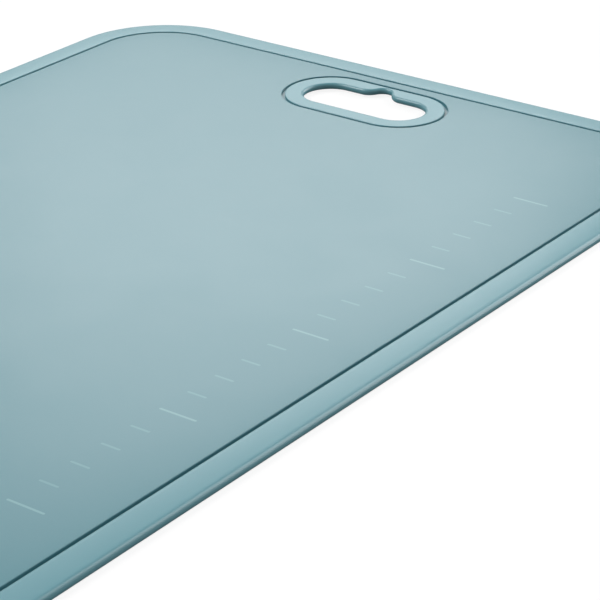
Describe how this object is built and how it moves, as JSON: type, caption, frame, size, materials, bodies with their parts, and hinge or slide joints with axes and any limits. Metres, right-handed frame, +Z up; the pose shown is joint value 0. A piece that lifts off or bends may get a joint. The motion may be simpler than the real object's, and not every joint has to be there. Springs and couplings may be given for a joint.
{
  "type": "flexible cutting mat",
  "caption": "Thin flexible cutting mat with a soft rim, rounded corners, a carrying slot with a hook notch, and a centimetre ruler along one long edge.",
  "frame": {"origin": "middle of the footprint, on the surface that the rim stands on", "axes": "+Y along the length towards the carrying slot, +X towards the long edge with the ruler, +Z up out of the cutting face"},
  "size_m": [0.218, 0.33, 0.0026],
  "materials": {
    "sheet_plastic": "satin moulded, slightly translucent",
    "rim_elastomer": "satin moulded elastomer",
    "handle_elastomer": "satin moulded elastomer",
    "ruler_inlay": "pale matt inlay"
  },
  "bodies": {
    "root": {"cutting_sheet": "sheet_plastic", "soft_rim": "rim_elastomer", "handle_surround": "handle_elastomer", "ruler_marks": "ruler_inlay"}
  },
  "joints": []
}
